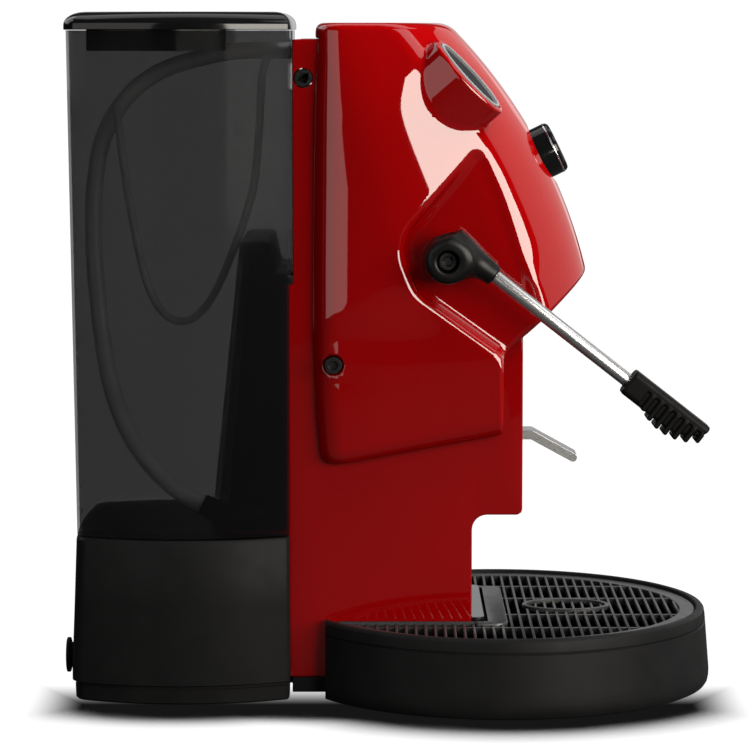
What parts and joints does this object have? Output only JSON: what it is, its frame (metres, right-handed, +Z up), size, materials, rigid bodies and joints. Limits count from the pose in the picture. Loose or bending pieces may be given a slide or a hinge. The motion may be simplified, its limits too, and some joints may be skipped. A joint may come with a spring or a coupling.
{
  "type": "espresso machine",
  "caption": "Lever espresso machine for paper pods: red hood over a column, smoked tank behind, round drip tray in front.",
  "frame": {"origin": "middle of the footprint, on the table", "axes": "+X towards the user at the drip tray's side, -Y the lever's side, +Z up"},
  "size_m": [0.3056, 0.201, 0.32],
  "materials": {
    "red_paint": "glossy powder-coated steel sheet",
    "red_gloss": "high gloss moulded plastic",
    "black_plastic": "satin moulded plastic",
    "matte_black": "soft satin moulded plastic",
    "grip_black": "ribbed soft grip",
    "gloss_black": "high gloss moulded plastic",
    "tray_black": "fine satin texture",
    "rubber": "matte",
    "gasket": "silicone",
    "steel": "zinc plated",
    "polished_steel": "polished stainless steel",
    "chrome_trim": "satin chrome",
    "black_screw": "black oxide",
    "aluminium": "die cast",
    "brass": "machined",
    "ceramic": "phenolic",
    "pump_body": "moulded nylon",
    "circuit_board": "coated",
    "eye_lens": "smoked diffuser",
    "smoke_tank": "clear smoke-tinted plastic",
    "clear_hose": "translucent silicone"
  },
  "bodies": {
    "chassis": {"base_plate": "black_plastic", "rubber_feet": "rubber", "rear_housing": "black_plastic", "side_panel_right": "red_paint", "side_panel_left": "red_paint", "rear_cover": "red_paint", "front_cover": "gloss_black", "spacer_bars": "steel", "panel_screws": "black_screw", "hood": "red_gloss", "hood_screws": "black_screw", "eye_bezels": "chrome_trim", "eye_lenses": "eye_lens", "button_guide": "black_plastic", "brew_switch": "black_plastic", "group_frame": "aluminium", "shaft_bushes": "brass", "shaft_cap": "black_plastic", "pod_holder": "aluminium", "pod_ring": "aluminium", "coffee_spout": "black_plastic", "holder_bracket": "steel", "group_cover": "black_plastic", "spout_cover": "gloss_black", "tongue_pin": "steel", "boiler": "aluminium", "boiler_thermostats": "ceramic", "pump": "pump_body", "pump_cradle": "rubber", "control_board": "circuit_board", "switch_frame": "black_plastic", "cable_gland": "black_plastic", "hose_fitting": "black_plastic"},
    "lever": {"lever_hub": "matte_black", "lever_rod": "polished_steel", "lever_grip": "grip_black", "lever_shaft": "steel", "lever_cam": "steel", "hub_screw": "black_screw"},
    "piston": {"piston": "brass", "shower_screen": "polished_steel", "piston_gasket": "gasket", "return_spring": "steel"},
    "tongue": {"pod_tongue": "polished_steel"},
    "button": {"brew_button": "gloss_black"},
    "rocker": {"power_rocker": "gloss_black"},
    "tank": {"water_tank": "smoke_tank", "intake_hose": "clear_hose", "hose_elbow": "black_plastic", "intake_filter": "black_plastic", "return_hose": "clear_hose"},
    "lid": {"tank_lid": "gloss_black"},
    "tray": {"drip_tray": "tray_black"},
    "grid": {"drip_grid": "tray_black"}
  },
  "joints": [
    {"name": "lever_turn", "type": "hinge", "parent": "chassis", "child": "lever", "pos_m": [0.0254, 0, 0.2068], "axis": [0, -1, 0], "range_deg": [0, 110]},
    {"name": "piston_lift", "type": "slide", "parent": "chassis", "child": "piston", "axis": [0, 0, 1], "range_m": [0, 0.0116], "deforming": ["return_spring"]},
    {"name": "tongue_lift", "type": "hinge", "parent": "chassis", "child": "tongue", "pos_m": [0.0572, 0, 0.1136], "axis": [0, 1, 0], "range_deg": [0, 11], "stiffness_Nm_per_rad": 0.05, "springref_deg": -20.05},
    {"name": "button_press", "type": "slide", "parent": "chassis", "child": "button", "axis": [-0.8988, 0, -0.4384], "range_m": [0, 0.003], "stiffness_N_per_m": 600, "springref_m": -0.001},
    {"name": "rocker_tilt", "type": "hinge", "parent": "chassis", "child": "rocker", "pos_m": [-0.148, 0.0307, 0.0327], "axis": [0, -1, 0], "range_deg": [0, 14]},
    {"name": "tank_lift", "type": "slide", "parent": "chassis", "child": "tank", "axis": [0, 0, 1], "range_m": [0, 0.15]},
    {"name": "lid_lift", "type": "slide", "parent": "tank", "child": "lid", "axis": [0, 0, 1], "range_m": [0, 0.06]},
    {"name": "tray_slide", "type": "slide", "parent": "chassis", "child": "tray", "axis": [1, 0, 0], "range_m": [0, 0.12]},
    {"name": "grid_lift", "type": "slide", "parent": "tray", "child": "grid", "axis": [0, 0, 1], "range_m": [0, 0.03]}
  ],
  "couplings": [
    {"joint": "piston_lift", "follows": "lever_turn", "m_per_rad": 0.005973}
  ]
}
